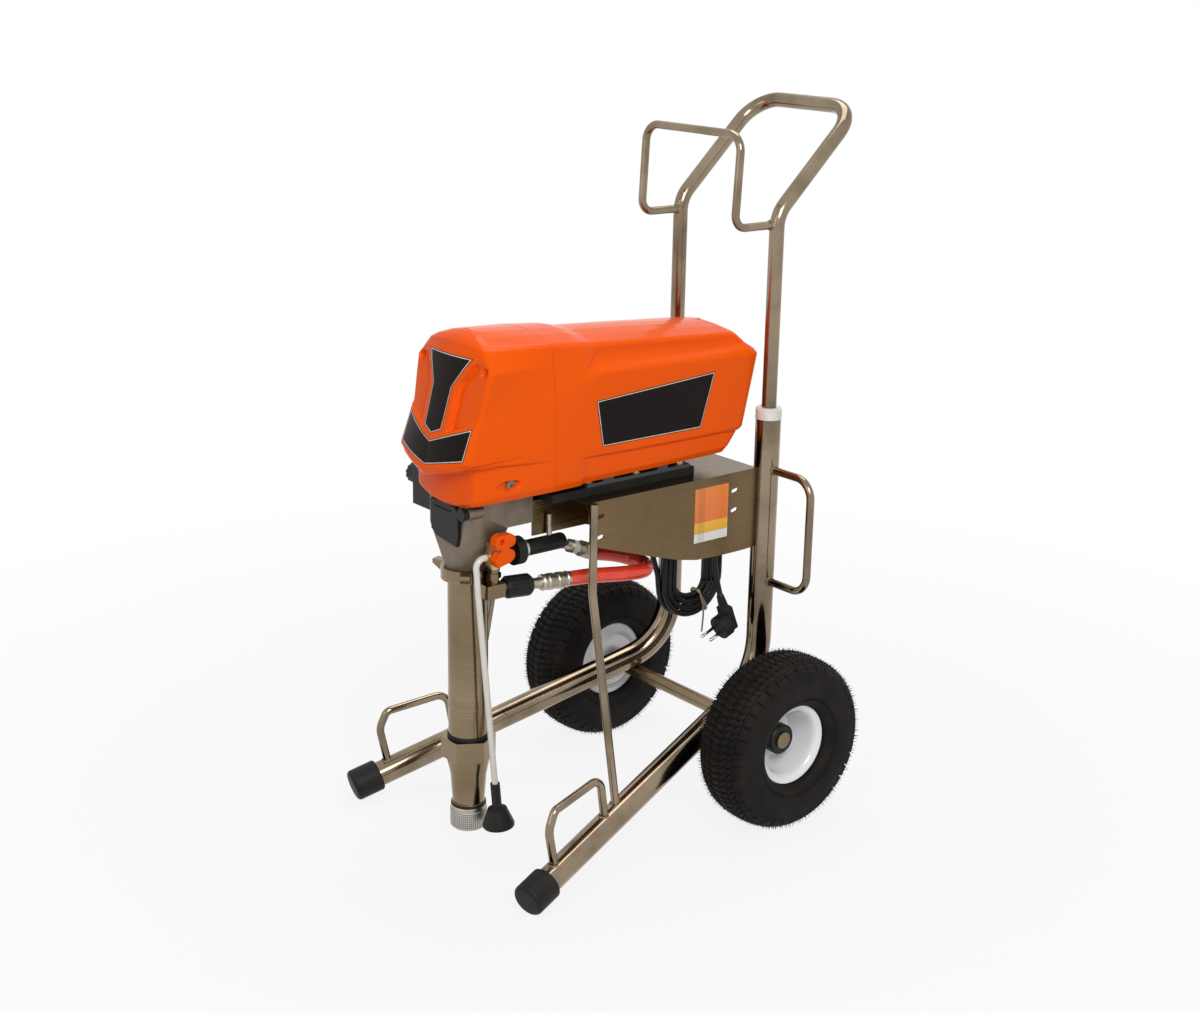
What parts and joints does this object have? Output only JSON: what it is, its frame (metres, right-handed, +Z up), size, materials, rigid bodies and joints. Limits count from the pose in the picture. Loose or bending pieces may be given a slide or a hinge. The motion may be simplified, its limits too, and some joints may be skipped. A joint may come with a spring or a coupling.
{
  "type": "airless paint sprayer",
  "caption": "Upright two-wheel cart carrying an electric airless paint sprayer with a moulded cover over motor and drive, a piston pump with strainer, a red whip hose and a telescopic handle.",
  "frame": {"origin": "middle of the box round the machine at floor level, measured without the mains cord", "axes": "+Z up, -Y towards the pump at the front, +X towards the machine's left hand side as seen from behind the handle facing the pump"},
  "size_m": [0.5184, 0.704, 1.049],
  "materials": {
    "satin_steel": "satin plated tube with a warm grey tone",
    "zinc_steel": "zinc plated",
    "brushed_sheet": "brushed stainless sheet",
    "white_plastic": "moulded",
    "black_rubber": "matt",
    "motor_paint": "satin",
    "bright_steel": "ground",
    "cast_aluminium": "as cast",
    "black_plastic": "moulded",
    "orange_plastic": "moulded",
    "board": "lacquered",
    "pump_metal": "plated and turned",
    "packing": "oiled",
    "red_hose": "smooth",
    "brass": "machined",
    "clear_tube": "milky",
    "tyre": "matt",
    "white_paint": "gloss",
    "hub_black": "moulded",
    "rotor_steel": "laminations and copper windings",
    "gear_steel": "hardened"
  },
  "bodies": {
    "cart": {"frame_tube_left": "satin_steel", "frame_tube_right": "satin_steel", "axle": "zinc_steel", "front_hoops": "satin_steel", "struts": "satin_steel", "side_bails": "satin_steel", "foot_caps": "black_rubber", "handle_collars": "white_plastic", "mounting_box": "brushed_sheet", "cord_hook": "satin_steel", "support_channel": "zinc_steel", "motor_pad": "black_rubber", "base_bolts": "zinc_steel", "motor_can": "motor_paint", "motor_magnets": "motor_paint", "motor_end_bell": "motor_paint", "shaft_bearings": "bright_steel", "drive_housing": "cast_aluminium", "rod_cover": "black_plastic", "front_cover": "orange_plastic", "main_shroud": "orange_plastic", "cover_screws": "zinc_steel", "control_panel": "black_plastic", "control_board": "board", "pump_cylinder": "pump_metal", "pump_nut": "pump_metal", "throat_packing": "packing", "intake_housing": "pump_metal", "intake_valve": "bright_steel", "strainer": "zinc_steel", "outlet_elbow": "pump_metal", "coupling_nut": "black_plastic", "hose_fittings": "zinc_steel", "whip_hose": "red_hose", "outlet_tee": "black_plastic", "filter_ring": "zinc_steel", "filter_bowl": "black_plastic", "prime_valve": "brass", "drain_tube": "clear_tube", "deflector": "black_plastic", "cord_gland": "black_rubber", "cord_lead": "black_rubber", "cord_coil": "black_rubber", "cord_tail": "black_rubber", "plug": "black_rubber"},
    "handle": {"handle_tube": "satin_steel", "hose_hook": "satin_steel"},
    "wheel_left": {"tyre_left": "tyre", "rim_left": "white_paint", "hub_left": "hub_black"},
    "wheel_right": {"tyre_right": "tyre", "rim_right": "white_paint", "hub_right": "hub_black"},
    "rotor": {"motor_rotor": "rotor_steel"},
    "idler": {"idler_gear": "gear_steel"},
    "crank": {"crankshaft": "gear_steel"},
    "pump_rod": {"pump_rod": "bright_steel"},
    "lever": {"prime_lever": "orange_plastic"},
    "knob": {"pressure_knob": "black_plastic"},
    "switch": {"power_switch": "black_plastic"}
  },
  "joints": [
    {"name": "wheel_left_spin", "type": "hinge", "parent": "cart", "child": "wheel_left", "pos_m": [-0.214, 0.1345, 0.1325], "axis": [1, 0, 0], "continuous": true},
    {"name": "wheel_right_spin", "type": "hinge", "parent": "cart", "child": "wheel_right", "pos_m": [0.214, 0.1345, 0.1325], "axis": [1, 0, 0], "continuous": true},
    {"name": "handle_slide", "type": "slide", "parent": "cart", "child": "handle", "axis": [0, 0, 1], "range_m": [-0.2, 0]},
    {"name": "prime_lever_turn", "type": "hinge", "parent": "cart", "child": "lever", "pos_m": [0.0628, -0.27, 0.466], "axis": [1, 0, 0], "range_deg": [0, 90]},
    {"name": "pressure_knob_turn", "type": "hinge", "parent": "cart", "child": "knob", "pos_m": [-0.099, -0.294, 0.541], "axis": [-1, 0, 0], "range_deg": [-90, 180]},
    {"name": "power_switch_press", "type": "slide", "parent": "cart", "child": "switch", "axis": [0, 1, 0], "range_m": [0, 0.003], "stiffness_N_per_m": 400},
    {"name": "rotor_spin", "type": "hinge", "parent": "cart", "child": "rotor", "pos_m": [0, -0.041, 0.6505], "axis": [0, 1, 0], "continuous": true},
    {"name": "idler_spin", "type": "hinge", "parent": "cart", "child": "idler", "pos_m": [0, -0.221, 0.685], "axis": [0, 1, 0], "continuous": true},
    {"name": "crank_spin", "type": "hinge", "parent": "cart", "child": "crank", "pos_m": [0, -0.241, 0.62], "axis": [0, 1, 0], "continuous": true},
    {"name": "pump_stroke", "type": "slide", "parent": "cart", "child": "pump_rod", "axis": [0, 0, 1], "range_m": [-0.06, 0]}
  ],
  "couplings": [
    {"joint": "idler_spin", "follows": "rotor_spin", "ratio": -0.35294},
    {"joint": "crank_spin", "follows": "rotor_spin", "ratio": 0.10588}
  ]
}
